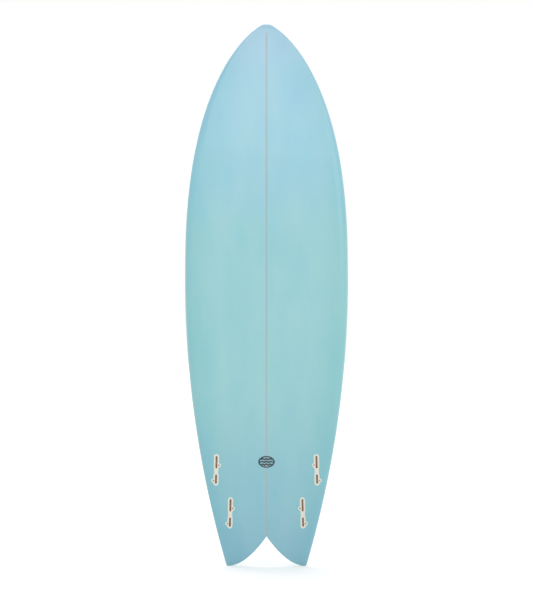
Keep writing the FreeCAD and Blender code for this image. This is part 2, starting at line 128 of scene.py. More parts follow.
def trimmed(node, material):
    """A copy of a core piece that stops short of the nose, where the rounded glass is slimmer
    than the frame's core. The space inside the tip is left empty and can't be seen."""
    bm = bmesh.new()
    bm.from_mesh(frame["nodes"][node].data)
    bmesh.ops.remove_doubles(bm, verts=bm.verts, dist=0.001 * MM)
    bmesh.ops.bisect_plane(bm, geom=bm.verts[:] + bm.edges[:] + bm.faces[:], plane_no=(0, 0, 1),
                           plane_co=(0, 0, cad_box[1].z - NOSE_GAP * MM), clear_outer=True)
    bmesh.ops.holes_fill(bm, edges=[edge for edge in bm.edges if edge.is_boundary])
    mesh = bpy.data.meshes.new(node + "_trimmed")
    bm.to_mesh(mesh)
    bm.free()
    piece = bpy.data.objects.new(mesh.name, mesh)
    bpy.context.scene.collection.objects.link(piece)
    paint(piece, material)
    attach(piece, "board")
    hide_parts(node)


for node in ("foam_port_half", "foam_starboard_half"):
    trimmed(node, planed_foam)


# ---- Stringer ------------------------------------------------------------------------------
# A 4 mm strip of basswood glued on edge between the foam halves. It is planed with the foam:
# pale tan, with close brown grain that runs from nose to tail.

basswood, tree = new_material("planed_basswood")
place = add(tree, "ShaderNodeTexCoord").outputs["Object"]
along = add(tree, "ShaderNodeMapping", {"Vector": place, "Scale": (1, 1, 0.03)})
grain = add(tree, "ShaderNodeTexNoise", {"Vector": along.outputs["Vector"], "Scale": 1 / (3 * MM),
                                         "Detail": 4})
colour = add(tree, "ShaderNodeMix", {"Factor": grain.outputs["Fac"], "A": linear("#d9c3a0"),
                                     "B": linear("#a98660")}, data_type="RGBA")
fibres = add(tree, "ShaderNodeBump", {"Height": grain.outputs["Fac"], "Strength": 0.2,
                                      "Distance": 0.1 * MM})
finish_surface(tree, Base_Color=colour.outputs["Result"], Roughness=0.6,
               Normal=fibres.outputs["Normal"], IOR=1.5)
trimmed("stringer", basswood)


# ---- Glass skins ---------------------------------------------------------------------------
# Fibreglass cloth in tinted polyester resin, one skin on the deck and one on the bottom, laid
# over the rails, filled, sanded and polished. The tint pools deeper where two layers lap.
# A station is the distance down the board from the nose, and all sizes here are in mm.

BOARD_LENGTH = 1829
HALF_WIDTH, WIDE_POINT = 273.5, 873
HALF_TAIL = 134.5                 # from the stringer to a tail tip
NOSE_BLUNT, NOSE_REACH, NOSE_WIDTH = 1.5, 2.6, 1.46
SWALLOW_DEPTH, SWALLOW_KNEE, TIP_FLAT, TIP_CORNER = 100, 0.54, 5, 3.5
FLAT_POINT, NOSE_ROCKER, NOSE_FLIP, FLIP_POWER = 770, 55, 44, 6
TAIL_ROCKER, TAIL_ROCKER_POWER = 78, 2.45
THICKNESS, THICK_POINT = 65, 830
NOSE_THICKNESS, NOSE_FOIL = 22.5, 1.9
TAIL_THICKNESS, TAIL_FOIL = 14, 2.6
RAIL_APEX = 0.44                  # height of the rail's widest line, as a share of the thickness
BOTTOM_LINE = -cad_box[0].y / MM  # Y of the bottom at its flattest station
DECK_CROWN = ((0, 1), (0.66, 1), (1, 0.5), (1, 0))       # Bezier points of the rail over its apex
RAIL_TUCK = ((0.89, 1), (0.956, 1), (1, 0.6), (1, 0))    # and under it
TIP_ROUNDING, NOSE_ROUNDING = 3.5, 26                    # of the nose, in its outline and thickness
DECK_EDGE, BOTTOM_EDGE = 4, 1.5   # rounding of the swallow's two edges
SKIN = 1.6                        # the drawn thickness of one skin
COLUMNS, ROWS = 44, 150           # the grid from the stringer to the rail, and from nose to tail
HALVINGS = 40                     # steps of a search, more than enough to be exact


def rounded(station, reach):
    """How full the nose is near its tip: 0 at the tip and 1 past the reach."""
    return 1 if station >= reach else math.sqrt(max(0, 1 - (1 - station / reach) ** 2))


def half_width(station):
    """From the stringer to the rail: a parabola to the tail and a rounder curve to the nose."""
    if station >= WIDE_POINT:
        share = (station - WIDE_POINT) / (BOARD_LENGTH - WIDE_POINT)
        return HALF_WIDTH - (HALF_WIDTH - HALF_TAIL) * share ** 2
    reach = (WIDE_POINT - station) / (WIDE_POINT + NOSE_BLUNT)
    return HALF_WIDTH * (1 - reach ** NOSE_REACH) ** (1 / NOSE_WIDTH) * rounded(station, TIP_ROUNDING)


def rocker(station):
    """How far the bottom has lifted from flat, towards the deck: a bend, and a flip at the nose."""
    if station <= FLAT_POINT:
        reach = (FLAT_POINT - station) / FLAT_POINT
        return NOSE_ROCKER * reach ** 2 + NOSE_FLIP * reach ** FLIP_POWER
    return TAIL_ROCKER * ((station - FLAT_POINT) / (BOARD_LENGTH - FLAT_POINT)) ** TAIL_ROCKER_POWER


def thickness(station):
    """From the bottom to the deck at the stringer."""
    if station <= THICK_POINT:
        reach = (THICK_POINT - station) / THICK_POINT
        return THICKNESS - (THICKNESS - NOSE_THICKNESS) * reach ** NOSE_FOIL
    share = (station - THICK_POINT) / (BOARD_LENGTH - THICK_POINT)
    return THICKNESS - (THICKNESS - TAIL_THICKNESS) * share ** TAIL_FOIL


def fullness(share, curve):
    """Height of a rail curve at a share of the half width: 1 by the stringer and 0 at the rail."""
    if share <= curve[0][0]:
        return 1
    low, high = 0, 1
    for _ in range(HALVINGS):
        u = (low + high) / 2
        weights = ((1 - u) ** 3, 3 * u * (1 - u) ** 2, 3 * u * u * (1 - u), u ** 3)
        if sum(w * p[0] for w, p in zip(weights, curve)) < share:
            low = u
        else:
            high = u
    return sum(w * p[1] for w, p in zip(weights, curve))


def skin_height(share, station, deck):
    """Y of the deck or the bottom, at a share of the half width."""
    bottom = BOTTOM_LINE - rocker(station)
    apex = bottom - RAIL_APEX * thickness(station)
    full = rounded(station, NOSE_ROUNDING)
    if deck:
        return apex - (1 - RAIL_APEX) * thickness(station) * fullness(share, DECK_CROWN) * full
    return apex + RAIL_APEX * thickness(station) * fullness(share, RAIL_TUCK) * full


def swallow_edge(x):
    """Height of the swallow's edge above the tail tips, at a distance from the centreline."""
    run = HALF_TAIL - TIP_FLAT
    a, b = run * (1 - 2 * SWALLOW_KNEE), 2 * run * SWALLOW_KNEE
    x = min(max(x, 0), HALF_TAIL)
    u = (math.sqrt(b * b + 4 * a * min(x, run)) - b) / (2 * a)
    corner = max(0, x - (HALF_TAIL - TIP_CORNER))
    return SWALLOW_DEPTH * (1 - u) ** 2 + TIP_CORNER - math.sqrt(TIP_CORNER ** 2 - corner ** 2)


def swallow_end(share):
    """Where a share of the half width meets the swallow's edge, and how far the edge leans there."""
    z = 0
    for _ in range(HALVINGS):
        x = share * half_width(BOARD_LENGTH - z)
        z = swallow_edge(x)
    slope = swallow_edge(x + 0.5) - swallow_edge(x - 0.5)
    return z, max(0.4, 1 / math.hypot(1, slope))


def hull_point(column, row):
    """A point of the starboard skin. Rows run down the deck, round the swallow and up the bottom."""
    share = 1 - (1 - column / COLUMNS) ** 2
    end, lean = ENDS[column]
    deck_end, bottom_end = (skin_height(share, BOARD_LENGTH - end, deck) for deck in (True, False))
    height = bottom_end - deck_end
    deck_edge, bottom_edge = min(DECK_EDGE, 0.5 * height), min(BOTTOM_EDGE, 0.2 * height)
    kind, part = WRAP[row]
    turn = math.pi / 2 * part
    if kind == "deck" or kind == "bottom":
        edge = deck_edge if kind == "deck" else bottom_edge
        z = BOARD_LENGTH - part ** 1.35 * (BOARD_LENGTH - end - edge / lean)
        y = skin_height(share, BOARD_LENGTH - z, kind == "deck")
    elif kind == "deck edge":
        z = end + deck_edge * (1 - math.sin(turn)) / lean
        y = skin_height(share, BOARD_LENGTH - z, True) + deck_edge * (1 - math.cos(turn))
    elif kind == "bottom edge":
        z = end + bottom_edge * (1 - math.sin(turn)) / lean
        y = skin_height(share, BOARD_LENGTH - z, False) - bottom_edge * (1 - math.cos(turn))
    else:
        z = end
        y = deck_end + deck_edge + part * (height - deck_edge - bottom_edge)
    return Vector((share * half_width(BOARD_LENGTH - z), y, z)) * MM


def new_piece(name, bm, body="board"):
    """Makes a mesh object of a bmesh, riding on a body of the frame."""
    mesh = bpy.data.meshes.new(name)
    bm.to_mesh(mesh)
    bm.free()
    piece = bpy.data.objects.new(name, mesh)
    bpy.context.scene.collection.objects.link(piece)
    if body:
        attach(piece, body)
    return piece


def number_faces(piece):
    """Makes room for face numbers: deck 0, bottom 1 and routed 2, which a boolean then keeps."""
    for _ in range(3):
        piece.data.materials.append(None)


def joined(piece, operation, *tools):
    """Cuts tools out of a piece, or adds them to it, and takes them away."""
    for tool in tools:
        change = piece.modifiers.new(operation.lower(), "BOOLEAN")
        change.operation, change.object, change.solver = operation, tool, "MANIFOLD"
        change.material_mode = "INDEX"
    graph = bpy.context.evaluated_depsgraph_get()
    mesh = bpy.data.meshes.new_from_object(piece.evaluated_get(graph))
    piece.modifiers.clear()
    piece.data = mesh
    for tool in tools:
        bpy.data.objects.remove(tool)
    return piece


ENDS = [swallow_end(1 - (1 - column / COLUMNS) ** 2) for column in range(COLUMNS + 1)]
WRAP = ([("deck", row / ROWS) for row in range(ROWS + 1)]
        + [("deck edge", part / 5) for part in range(1, 6)]
        + [("wall", part / 3) for part in range(1, 3)]
        + [("bottom edge", 1 - part / 3) for part in range(0, 3)]
        + [("bottom", 1 - row / ROWS) for row in range(ROWS + 1)])
DECK_ROWS = ROWS + 5

bm = bmesh.new()
bmesh.ops.create_grid(bm, x_segments=COLUMNS, y_segments=len(WRAP) - 1, size=1)
spots = {vert: (round((vert.co.x + 1) / 2 * COLUMNS), round((vert.co.y + 1) / 2 * (len(WRAP) - 1)))
         for vert in bm.verts}
for face in bm.faces:
    face.material_index = 0 if max(spots[vert][1] for vert in face.verts) <= DECK_ROWS else 1
for vert, (column, row) in spots.items():
    vert.co = hull_point(column, row)
bmesh.ops.mirror(bm, geom=bm.verts[:] + bm.edges[:] + bm.faces[:], axis="X", merge_dist=0.01 * MM)
bmesh.ops.remove_doubles(bm, verts=bm.verts, dist=0.02 * MM)
bmesh.ops.dissolve_degenerate(bm, edges=bm.edges, dist=0.01 * MM)
bmesh.ops.recalc_face_normals(bm, faces=bm.faces)
hull = new_piece("hull", bm, None)
number_faces(hull)


# The fin boxes and the leash plug are set in holes routed through the glass, so their sizes
# come first here. A fitting's own frame has X across it, Y towards the nose and Z outwards.
mounts = {mount["name"]: mount for mount in frame["record"]["mounts"]}
END_WALL, FRONT_BAY, BRIDGE, REAR_BAY = 5.5, 42, 21, 31
BAY_WIDTH, BAY_DEPTH, BOX_FLOOR = 6.4, 14, 2.5
FLANGE_WIDTH, CORE_WIDTH, FLANGE_THICKNESS, CORE_SETBACK = 15.5, 12, 2, 1.5
BOSS_RADIUS, BOSS_OFFSET, BOSS_DEPTH = 6, 8.7, 13.5
FRONT_BOSS_BACK, REAR_BOSS_BACK = 31.1, 20.5
BED = 1.2                         # the resin all round a fitting
ABOVE = 3                         # how far a cutter stands over the skin
ROUTED = 2                        # the face number of a routed hole
BOX_HALF = END_WALL + (FRONT_BAY + BRIDGE + REAR_BAY) / 2
BAYS = {"front": (BOX_HALF - END_WALL - FRONT_BAY, BOX_HALF - END_WALL),
        "rear": (-BOX_HALF + END_WALL, -BOX_HALF + END_WALL + REAR_BAY)}
BOX_NAMES = [f"fin_box_{row}_{side}" for row in ("front", "rear") for side in ("port", "starboard")]
PLUG_RIM, PLUG_BARREL, PLUG_MOUTH, PLUG_CUP, PLUG_FLOOR, PLUG_FLANGE = 15, 12.5, 8.5, 13, 2.2, 2.2
PIN_SINK, PIN_RADIUS, PIN_HALF = 5, 2, 11.5


def box_frame(name):
    """The matrix of a fin box, from the mouths of its two bays."""
    front, rear = (Vector(mounts[f"{name}_{bay}_bay"]["pos_m"]) for bay in ("front", "rear"))
    out = Vector(mounts[f"{name}_seat"]["axis"]).normalized()
    along = (front - rear).normalized()
    across = along.cross(out)
    centre = front - along * sum(BAYS["front"]) / 2 * MM
    return Matrix.Translation(centre) @ Matrix((across, along, out)).transposed().to_4x4()


def bosses(name):
    """Where a box's two screws go in: the front one inboard and the rear one outboard."""
    inboard = BOSS_OFFSET if name.endswith("starboard") else -BOSS_OFFSET
    return {"front": (inboard, BAYS["front"][1] - FRONT_BOSS_BACK),
            "rear": (-inboard, BAYS["rear"][1] - REAR_BOSS_BACK)}


def slot_block(width, low, high, top, depth, x=0, side=0):
    """A round-ended block from low to high along the box, from top down to its depth."""
    bm = bmesh.new()
    bmesh.ops.create_circle(bm, cap_ends=True, segments=40, radius=width / 2 * MM,
                            matrix=Matrix.Rotation(math.pi / 40, 4, "Z"))
    for vert in bm.verts:
        end = high - width / 2 if vert.co.y > 0 else low + width / 2
        vert.co += Vector((x, end, -depth)) * MM
    raised = bmesh.ops.extrude_face_region(bm, geom=bm.faces[:])["geom"]
    lid = [part for part in raised if isinstance(part, bmesh.types.BMVert)]
    bmesh.ops.translate(bm, verts=lid, vec=(0, 0, (top + depth) * MM))
    bmesh.ops.recalc_face_normals(bm, faces=bm.faces)
    for face in bm.faces:
        face.material_index = side
    block = new_piece("block", bm, None)
    number_faces(block)
    return block


def box_body(name, grow=0.0, top=0.0, side=0):
    """The outside of a fin box, grown all round."""
    core_end = BOX_HALF - CORE_SETBACK + grow
    body = slot_block(CORE_WIDTH + 2 * grow, -core_end, core_end, top, BAY_DEPTH + BOX_FLOOR + grow,
                      side=side)
    parts = [slot_block(FLANGE_WIDTH + 2 * grow, low - END_WALL - grow, high + END_WALL + grow, top,
                        FLANGE_THICKNESS + grow, side=side) for low, high in BAYS.values()]
    for x, y in bosses(name).values():
        radius = BOSS_RADIUS + grow
        parts.append(slot_block(2 * radius, y - radius, y + radius, top, BOSS_DEPTH + grow, x, side))
    return joined(body, "UNION", *parts)


def plug_frame():
    """The matrix of the leash plug, from its pin, with the pin across it."""
    out = Vector(mounts["leash_pin"]["axis"]).normalized()
    across = Vector((0, 0, 1)).cross(out).cross(out).cross(out).normalized()
    centre = Vector(mounts["leash_pin"]["pos_m"]) + out * PIN_SINK * MM
    return Matrix.Translation(centre) @ Matrix((across, out.cross(across), out)).transposed().to_4x4()


bm = bmesh.new()
for name in BOX_NAMES + ["leash_plug"]:
    if name == "leash_plug":
        router = slot_block(2 * (PLUG_RIM + BED), -PLUG_RIM - BED, PLUG_RIM + BED, ABOVE, 8, side=ROUTED)
        router.data.transform(plug_frame())
    else:
        router = box_body(name, BED, ABOVE, side=ROUTED)
        router.data.transform(box_frame(name))
    bm.from_mesh(router.data)
    bpy.data.objects.remove(router)
routers = new_piece("routers", bm, None)
number_faces(routers)
joined(hull, "DIFFERENCE", routers)

# The whole hull is shaded before it is divided, so that the skins meet without a crease.
bm = bmesh.new()
bm.from_mesh(hull.data)
routed = [face for face in bm.faces if face.material_index == ROUTED]
bmesh.ops.delete(bm, geom=routed, context="FACES")
for face in bm.faces:
    face.smooth = True
for edge in bm.edges:
    edge.smooth = edge.calc_face_angle(0) < math.radians(35)
bm.to_mesh(hull.data)
bm.free()
shading = hull.data.attributes.new("hull_shading", "FLOAT_VECTOR", "CORNER")
for corner, normal in zip(shading.data, hull.data.corner_normals):
    corner.vector = normal.vector


def glass_skin(name, side):
    """One skin: its share of the hull's surface, thickened inwards, with each point's distance
    from the rail and from the swallow's edge."""
    bm = bmesh.new()
    bm.from_mesh(hull.data)
    other = [face for face in bm.faces if face.material_index != side]
    bmesh.ops.delete(bm, geom=other, context="FACES")
    outer = bm.faces[:]
    for edge in bm.edges:
        if edge.is_boundary:
            edge.smooth = False
    bmesh.ops.solidify(bm, geom=bm.faces[:], thickness=SKIN * MM)
    bm.faces.index_update()
    outer = {face.index for face in outer}
    skin = new_piece(name, bm)
    mesh = skin.data
    shading = mesh.attributes["hull_shading"].data
    normals = [(0, 0, 0)] * len(mesh.loops)
    for face in mesh.polygons:
        face.material_index = 0
        if face.index in outer:
            for corner in face.loop_indices:
                normals[corner] = tuple(shading[corner].vector)
    mesh.attributes.remove(mesh.attributes["hull_shading"])
    mesh.normals_split_custom_set(normals)
    for name in ("rail_gap", "swallow_gap"):
        mesh.attributes.new(name, "FLOAT", "POINT")
    gaps = zip(mesh.vertices, mesh.attributes["rail_gap"].data, mesh.attributes["swallow_gap"].data)
    for vert, rail_gap, swallow_gap in gaps:
        x, z = abs(vert.co.x) / MM, vert.co.z / MM
        slope = swallow_edge(x + 0.5) - swallow_edge(x - 0.5)
        rail_gap.value = half_width(BOARD_LENGTH - z) - x
        swallow_gap.value = (z - swallow_edge(x)) / math.hypot(1, slope)
    return skin


def tinted_resin(name, stops, mottle, lap, timber):
    """Tinted laminating resin under a polished gloss coat: deep even colour with soft clouds and a
    mirror-like face. stops are heights above the tail in mm with the colour there, the tint with painted
    shade in it."""
    material, tree = new_material(name)
    place = add(tree, "ShaderNodeTexCoord").outputs["Object"]
    axes = add(tree, "ShaderNodeSeparateXYZ", {"Vector": place})
    # the colour along the board: the tint with painted shade in it, so the deck darkens towards the nose
    # and the tail, and the bottom towards the tail
    height = add(tree, "ShaderNodeMapRange", {"Value": axes.outputs["Z"], "From Max": BOARD_LENGTH * MM})
    tint_and_painted_shade = add(tree, "ShaderNodeValToRGB", {"Fac": height.outputs["Result"]})
    ramp = tint_and_painted_shade.color_ramp
    ramp.interpolation = "EASE"
    while len(ramp.elements) < len(stops):
        ramp.elements.new(0.5)
    for stop, (z, code) in zip(ramp.elements, stops):
        stop.position = z / BOARD_LENGTH
    for stop, (z, code) in zip(ramp.elements, stops):
        stop.color = linear(code)
    pulled = add(tree, "ShaderNodeMapping", {"Vector": place, "Scale": (1, 1, 0.35)})
    clouds = add(tree, "ShaderNodeTexNoise", {"Vector": pulled.outputs["Vector"], "Scale": 1 / (110 * MM),
                                             "Detail": 3, "Roughness": 0.55})
    clouds = add(tree, "ShaderNodeMapRange", {"Value": clouds.outputs["Fac"], "From Min": 0.35,
                                              "From Max": 0.65})
    colour = add(tree, "ShaderNodeMix", {"Factor": clouds.outputs["Result"], "A": (1, 1, 1, 1),
                                         "B": linear(mottle)}, data_type="RGBA")
    colour = add(tree, "ShaderNodeMix", {"Factor": 1.0, "A": tint_and_painted_shade.outputs["Color"],
                                         "B": colour.outputs["Result"]},
                 data_type="RGBA", blend_type="MULTIPLY")
    # the stringer, seen through the glass up to where the lap covers it
    offset = add(tree, "ShaderNodeMath", {0: axes.outputs["X"]}, operation="ABSOLUTE")
    line = add(tree, "ShaderNodeMapRange", {"Value": offset.outputs["Value"], "From Min": 5.0 * MM,
                                            "From Max": 0.6 * MM}, interpolation_type="SMOOTHSTEP")
    start = add(tree, "ShaderNodeMapRange", {"Value": axes.outputs["Z"], "To Max": 0.8,
                                             "From Min": (BOARD_LENGTH - 24) * MM,
                                             "From Max": (BOARD_LENGTH - 40) * MM},
                interpolation_type="SMOOTHSTEP")
    grain = add(tree, "ShaderNodeMapping", {"Vector": place, "Scale": (1, 1, 0.02)})
    grain = add(tree, "ShaderNodeTexNoise", {"Vector": grain.outputs["Vector"], "Scale": 1 / (2 * MM),
                                             "Detail": 2})
    wood = add(tree, "ShaderNodeMix", {"Factor": grain.outputs["Fac"], "A": linear(timber[0]),
                                       "B": linear(timber[1])}, data_type="RGBA")
    shows = add(tree, "ShaderNodeMath", {0: line.outputs["Result"], 1: start.outputs["Result"]},
                operation="MULTIPLY")
    colour = add(tree, "ShaderNodeMix", {"Factor": shows.outputs["Value"], "A": colour.outputs["Result"],
                                         "B": wood.outputs["Result"]}, data_type="RGBA")
    # the tint gathers towards the rail, and is two layers deep in the lap
    gap = add(tree, "ShaderNodeAttribute", attribute_name="rail_gap").outputs["Fac"]
    ragged = add(tree, "ShaderNodeTexNoise", {"Vector": place, "Scale": 1 / (60 * MM), "Detail": 3})
    ragged = add(tree, "ShaderNodeMath", {0: ragged.outputs["Fac"], 1: 20.0, 2: gap},
                 operation="MULTIPLY_ADD")
    band = add(tree, "ShaderNodeMapRange", {"Value": ragged.outputs["Value"], "From Min": 140.0,
                                            "From Max": 15.0, "To Max": 0.85},
               interpolation_type="SMOOTHSTEP")
    colour = add(tree, "ShaderNodeMix", {"Factor": band.outputs["Result"], "A": colour.outputs["Result"],
                                         "B": linear(lap)}, data_type="RGBA", blend_type="MULTIPLY")
    # painted shade: a thin dark line round the rounded edge of the swallow, where the edge turns from the
    # light
    gap = add(tree, "ShaderNodeAttribute", attribute_name="swallow_gap").outputs["Fac"]
    painted_edge_shade = add(tree, "ShaderNodeMapRange", {"Value": gap, "From Min": 2.4, "From Max": 0.8,
                                            "To Max": 0.5}, interpolation_type="SMOOTHSTEP")
    colour = add(tree, "ShaderNodeMix", {"Factor": painted_edge_shade.outputs["Result"], "A": colour.outputs["Result"],
                                         "B": linear("#7fa9ad")}, data_type="RGBA")
    # plain weave cloth, 0.6 mm a thread, drawn at 2 mm so that it shows
    warp, weft = (add(tree, "ShaderNodeTexWave", {"Vector": place, "Scale": 1 / (20 * MM)},
                      bands_direction=axis).outputs["Fac"] for axis in "ZX")
    weave = add(tree, "ShaderNodeMath", {0: warp, 1: weft}, operation="MULTIPLY")
    colour = add(tree, "ShaderNodeMix", {"Factor": weave.outputs["Value"], "A": colour.outputs["Result"],
                                         "B": (0.985, 0.99, 0.99, 1)},
                 data_type="RGBA", blend_type="MULTIPLY")
    # polishing leaves a faint ripple, and hairlines that scatter the light a little
    waves = add(tree, "ShaderNodeTexNoise", {"Vector": place, "Scale": 1 / (70 * MM), "Detail": 1})
    waves = add(tree, "ShaderNodeBump", {"Height": waves.outputs["Fac"], "Strength": 0.15,
                                         "Distance": 1 * MM})
    rubbed = add(tree, "ShaderNodeTexNoise", {"Vector": place, "Scale": 1 / (35 * MM), "Detail": 4})
    rubbed = add(tree, "ShaderNodeMapRange", {"Value": rubbed.outputs["Fac"], "To Min": 0.14,
                                              "To Max": 0.24})
    finish_surface(tree, Base_Color=colour.outputs["Result"], Roughness=rubbed.outputs["Result"], IOR=1.5,
                   Normal=waves.outputs["Normal"], Coat_Weight=0.4, Coat_Roughness=0.04, Coat_IOR=1.5)
    return material


deck_tint = tinted_resin("polished_tinted_resin_deck",
                         [(0, "#91b4b7"), (160, "#91babb"), (520, "#97c2c4"), (1060, "#a3ccce"),
                          (1470, "#9fc5c9"), (1640, "#98bec2"), (1829, "#8bb1b6")],
                         "#f4fbff", "#e9f6f8", ("#a7b6b1", "#98a7a2"))
bottom_tint = tinted_resin("polished_tinted_resin_bottom",
                           [(0, "#80abb9"), (260, "#80b0b9"), (660, "#88b9bb"), (1060, "#8dbcbf"),
                            (1330, "#8dbbc6"), (1600, "#8fbac8"), (1829, "#9fbbcc")],
                           "#eefaff", "#e8f6f6", ("#9ca5a9", "#8f989c"))
for name, side, tint_and_painted_shade, nodes in (
        ("deck_glass", 0, deck_tint, ("deck_laminate", "deck_inlay")),
        ("bottom_glass", 1, bottom_tint, ("bottom_laminate", "bottom_fill_coat"))):
    skin = glass_skin(name, side)
    paint(skin, tint_and_painted_shade)
    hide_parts(*nodes)
bpy.data.objects.remove(hull)


# ---- Marks under the gloss -----------------------------------------------------------------
# Two plain marks screen-printed on rice paper and sealed under the gloss coat: a ladder of
# ripples along the deck's stringer, and an oval of ripples ahead of the fin boxes.

def skin_point(x, z, deck, proud=0.08):
    """A point just over the skin, from its place across and up the board."""
    y = skin_height(abs(x) / half_width(BOARD_LENGTH - z), BOARD_LENGTH - z, deck)
    return Vector((x, y - proud if deck else y + proud, z)) * MM


def ripple(bm, z, reach, stroke, swell, waves, deck):
    """One inked ripple across the stringer, with tapered ends."""
    strip = bmesh.ops.create_grid(bm, x_segments=48, y_segments=2, size=1)["verts"]
    for vert in strip:
        u, v = vert.co.x, vert.co.y
        taper = math.sqrt(max(0, 1 - abs(u) ** 6))
        height = z + swell * math.cos(u * waves * math.pi) + v * stroke / 2 * taper
        vert.co = skin_point(u * reach, height, deck)


def printed(name, bm, node, deck):
    """Finishes a printed mark: faces outwards, a film thick."""
    bmesh.ops.remove_doubles(bm, verts=bm.verts, dist=0.001 * MM)
    bmesh.ops.dissolve_degenerate(bm, edges=bm.edges, dist=0.001 * MM)
    for face in bm.faces:
        if (face.normal.y > 0) == deck:
            face.normal_flip()
        face.smooth = True
    bmesh.ops.solidify(bm, geom=bm.faces[:], thickness=0.3 * MM)
    mark = new_piece(name, bm)
    paint(mark, screen_ink)
    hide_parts(node)


screen_ink, tree = new_material("screen_ink_under_gloss")
place = add(tree, "ShaderNodeTexCoord").outputs["Object"]
mesh_print = add(tree, "ShaderNodeTexNoise", {"Vector": place, "Scale": 1 / (4 * MM), "Detail": 5})
colour = add(tree, "ShaderNodeMix", {"Factor": mesh_print.outputs["Fac"], "A": linear("#182a35"),
                                     "B": linear("#2e4450")}, data_type="RGBA")
finish_surface(tree, Base_Color=colour.outputs["Result"], Roughness=0.2, IOR=1.5, Coat_Weight=0.4,
               Coat_Roughness=0.04)

low, high = (corner.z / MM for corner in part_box("deck_label"))
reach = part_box("deck_label")[1].x / MM
bm = bmesh.new()
steps = 9
for step in range(steps):
    ripple(bm, low + (step + 0.5) * (high - low) / steps, reach - 1, 8.6, 2.4, 2, True)
printed("deck_mark", bm, "deck_label", True)

low, high = (corner.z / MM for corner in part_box("bottom_label"))
reach, middle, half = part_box("bottom_label")[1].x / MM, (low + high) / 2, (high - low) / 2
bm = bmesh.new()
ring = bmesh.ops.create_grid(bm, x_segments=72, y_segments=1, size=1)["verts"]
for vert in ring:
    turn, size = vert.co.x * math.pi, 0.89 + 0.11 * vert.co.y
    vert.co = skin_point(reach * size * math.sin(turn), middle + half * size * math.cos(turn), False)
for step in (-1, 0, 1):
    z = step * half * 0.46
    ripple(bm, middle + z, reach * 0.8 * math.sqrt(1 - (z / half) ** 2), 6.6, 1.4, 3, False)
printed("bottom_mark", bm, "bottom_label", False)


# ---- Fin boxes -----------------------------------------------------------------------------
# Four boxes moulded in glass-filled nylon, cream and slightly translucent. Their bays are painted warm
# and dark inside, as painted shade that deepens with depth. Each has two open bays for a fin's tabs, and
# was sanded flush with the glass.

SCREW_LEAN, SCREW_SINK, SCREW_LENGTH, SCREW_RADIUS, SCREW_CLEARANCE = 20, 1.3, 7.5, 2.5, 0.1
HOLE_FLOOR = 1.2                  # what is left of a boss under its screw hole


def eased(piece, width):
    """Breaks the sharp edges of a fitting and shades it."""
    bm = bmesh.new()
    bm.from_mesh(piece.data)
    bmesh.ops.remove_doubles(bm, verts=bm.verts, dist=0.005 * MM)
    bmesh.ops.dissolve_limit(bm, angle_limit=math.radians(1), verts=bm.verts, edges=bm.edges)
    sharp = [edge for edge in bm.edges if edge.calc_face_angle(0) > math.radians(50)]
    bmesh.ops.bevel(bm, geom=sharp, offset=width * MM, segments=2, profile=0.5, affect="EDGES",
                    material=-1, clamp_overlap=True)
    for face in bm.faces:
        face.smooth = True
    for edge in bm.edges:
        edge.smooth = edge.calc_face_angle(0) < math.radians(35)
    bm.to_mesh(piece.data)
    bm.free()
    piece.modifiers.new("flat_faces", "WEIGHTED_NORMAL").keep_sharp = True


def seated(piece, place, material, node, body="board"):
    """Marks how deep each point of a fitting lies, sets it in the board and finishes it."""
    depth = piece.data.attributes.new("depth", "FLOAT", "POINT")
    for vert, value in zip(piece.data.vertices, depth.data):
        value.value = -vert.co.z / MM
    piece.data.transform(place)
    piece.name = piece.data.name = node + "_finished"
    paint(piece, material)
    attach(piece, body)
    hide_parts(node)


moulded_nylon, tree = new_material("moulded_glass_filled_nylon")
place = add(tree, "ShaderNodeTexCoord").outputs["Object"]
# painted shade: from 0.6 mm to 5 mm below the face the nylon turns a warm taupe, so the bays and the
# leash cup look dark inside
depth = add(tree, "ShaderNodeAttribute", attribute_name="depth").outputs["Fac"]
shadow = add(tree, "ShaderNodeMapRange", {"Value": depth, "From Min": 0.6, "From Max": 5.0},
             interpolation_type="SMOOTHSTEP")
fibre = add(tree, "ShaderNodeTexNoise", {"Vector": place, "Scale": 1 / (1.5 * MM), "Detail": 3})
face = add(tree, "ShaderNodeMix", {"Factor": fibre.outputs["Fac"], "A": linear("#d6cebf"),
                                   "B": linear("#c8bfaf")}, data_type="RGBA")
painted_well_shade = add(tree, "ShaderNodeMix", {"Factor": fibre.outputs["Fac"], "A": linear("#cdb5a0"),
                                   "B": linear("#b59c87")}, data_type="RGBA")
colour = add(tree, "ShaderNodeMix", {"Factor": shadow.outputs["Result"], "A": face.outputs["Result"],
                                     "B": painted_well_shade.outputs["Result"]}, data_type="RGBA")
sanded = add(tree, "ShaderNodeBump", {"Height": fibre.outputs["Fac"], "Strength": 0.2,
                                      "Distance": 0.05 * MM})
finish_surface(tree, Base_Color=colour.outputs["Result"], Roughness=0.38,
               Normal=sanded.outputs["Normal"], IOR=1.53)


def screw_frame(name, end):
    """The matrix of a screw in its box: sunk along a line that leans towards the bay."""
    x, y = bosses(name)[end]
    lean = Matrix.Rotation(math.radians(math.copysign(SCREW_LEAN, x)), 4, "Y")
    return Matrix.Translation(Vector((x, y, 0)) * MM) @ lean


for name in BOX_NAMES:
    box = box_body(name)
    tools = [slot_block(BAY_WIDTH, low, high, ABOVE, BAY_DEPTH) for low, high in BAYS.values()]
    for end in ("front", "rear"):
        radius = SCREW_RADIUS + SCREW_CLEARANCE
        hole = slot_block(2 * radius, -radius, radius, ABOVE, BOSS_DEPTH - HOLE_FLOOR)
        hole.data.transform(screw_frame(name, end))
        tools.append(hole)
    for tool in tools:
        joined(box, "DIFFERENCE", tool)
    eased(box, 0.3)
    seated(box, box_frame(name), moulded_nylon, name)


# ---- Resin beds ----------------------------------------------------------------------------
# Each fitting is glued in its routed hole with thickened polyester resin, tinted to match. It
# sets cloudy and shows as a thin pale line all round the fitting, sanded level.

